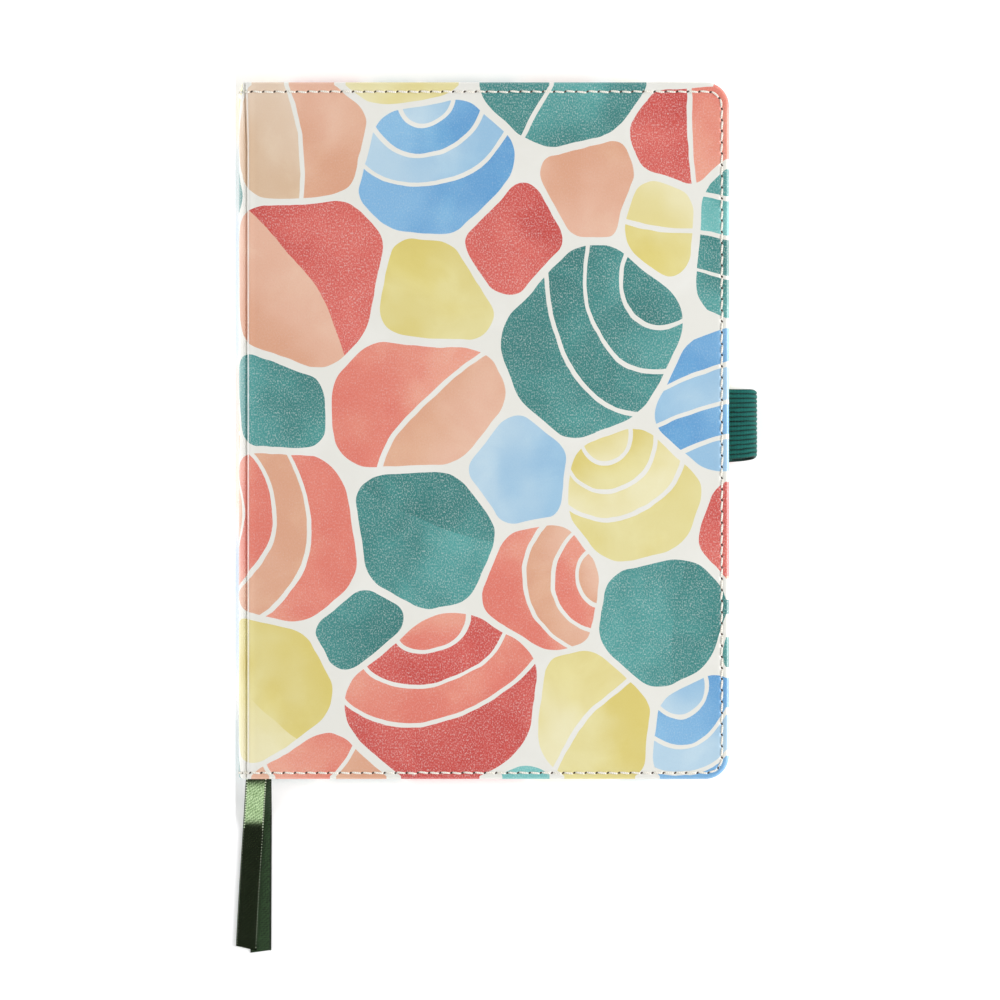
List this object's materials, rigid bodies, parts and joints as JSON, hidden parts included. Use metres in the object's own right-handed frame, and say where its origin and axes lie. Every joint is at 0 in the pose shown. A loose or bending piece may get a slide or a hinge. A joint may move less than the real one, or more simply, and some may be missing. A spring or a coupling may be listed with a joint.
{
  "type": "dot grid journal",
  "caption": "Hardcover dot grid journal, leather-look cover with stitched edges and rounded fore corners, sewn text block, elastic pen loop and ribbon markers.",
  "frame": {"origin": "under the middle of the closed journal without its ribbon tails, on the plane it lies on", "axes": "+X from the spine to the fore edge, +Y from the tail edge to the head edge, +Z out of the front cover"},
  "size_m": [0.1594, 0.2665, 0.0187],
  "materials": {
    "cover_leather": "satin",
    "grey_board": "matte",
    "lining_paper": "matte",
    "fly_paper": "matte",
    "page_paper": "matte",
    "inlay_card": "matte",
    "spine_cloth": "matte",
    "band_cloth": "matte",
    "thread": "matte",
    "elastic": "matte",
    "satin_ribbon": "satin"
  },
  "bodies": {
    "rear_half": {"signature_07_rear_leaves": "page_paper", "signature_08": "page_paper", "signature_09": "page_paper", "signature_10": "page_paper", "signature_11": "page_paper", "signature_12": "page_paper", "signature_13": "page_paper", "spine_skin_rear": "cover_leather", "spine_inlay_rear": "inlay_card", "spine_lining_rear": "spine_cloth", "back_joint_skin": "cover_leather", "headband_rear": "band_cloth", "tailband_rear": "band_cloth", "ribbon_upper_inner": "satin_ribbon", "ribbon_upper_tail": "satin_ribbon", "ribbon_lower_inner": "satin_ribbon", "ribbon_lower_tail": "satin_ribbon"},
    "front_half": {"signature_01": "page_paper", "signature_02": "page_paper", "signature_03": "page_paper", "signature_04": "page_paper", "signature_05": "page_paper", "signature_06": "page_paper", "signature_07_front_leaves": "page_paper", "centre_sewing_thread": "thread", "spine_skin_front": "cover_leather", "spine_inlay_front": "inlay_card", "spine_lining_front": "spine_cloth", "front_joint_skin": "cover_leather", "headband_front": "band_cloth", "tailband_front": "band_cloth"},
    "front_cover": {"front_cover_skin": "cover_leather", "front_board": "grey_board", "front_cover_lining": "lining_paper", "front_cover_stitching": "thread"},
    "back_cover": {"back_cover_skin": "cover_leather", "back_board": "grey_board", "back_cover_lining": "lining_paper", "back_cover_stitching": "thread", "pen_loop": "elastic"},
    "front_flyleaf": {"front_flyleaf": "fly_paper"},
    "back_flyleaf": {"back_flyleaf": "fly_paper"}
  },
  "joints": [
    {"name": "page_opening", "type": "hinge", "parent": "rear_half", "child": "front_half", "pos_m": [-0.0791, 0, 0.00935], "axis": [0, -1, 0], "range_deg": [0, 174]},
    {"name": "front_cover_hinge", "type": "hinge", "parent": "front_half", "child": "front_cover", "pos_m": [-0.0768, 0, 0.019], "axis": [0, -1, 0], "range_deg": [0, 180]},
    {"name": "back_cover_hinge", "type": "hinge", "parent": "rear_half", "child": "back_cover", "pos_m": [-0.0768, 0, -0.0003], "axis": [0, -1, 0], "range_deg": [-180, 0]},
    {"name": "front_flyleaf_hinge", "type": "hinge", "parent": "front_half", "child": "front_flyleaf", "pos_m": [-0.0769, 0, 0.01585], "axis": [0, -1, 0], "range_deg": [0, 5.4]},
    {"name": "back_flyleaf_hinge", "type": "hinge", "parent": "rear_half", "child": "back_flyleaf", "pos_m": [-0.0769, 0, 0.00285], "axis": [0, -1, 0], "range_deg": [-5.4, 0]}
  ],
  "couplings": [
    {"joint": "front_flyleaf_hinge", "follows": "front_cover_hinge", "ratio": 0.03},
    {"joint": "back_flyleaf_hinge", "follows": "back_cover_hinge", "ratio": 0.03}
  ]
}
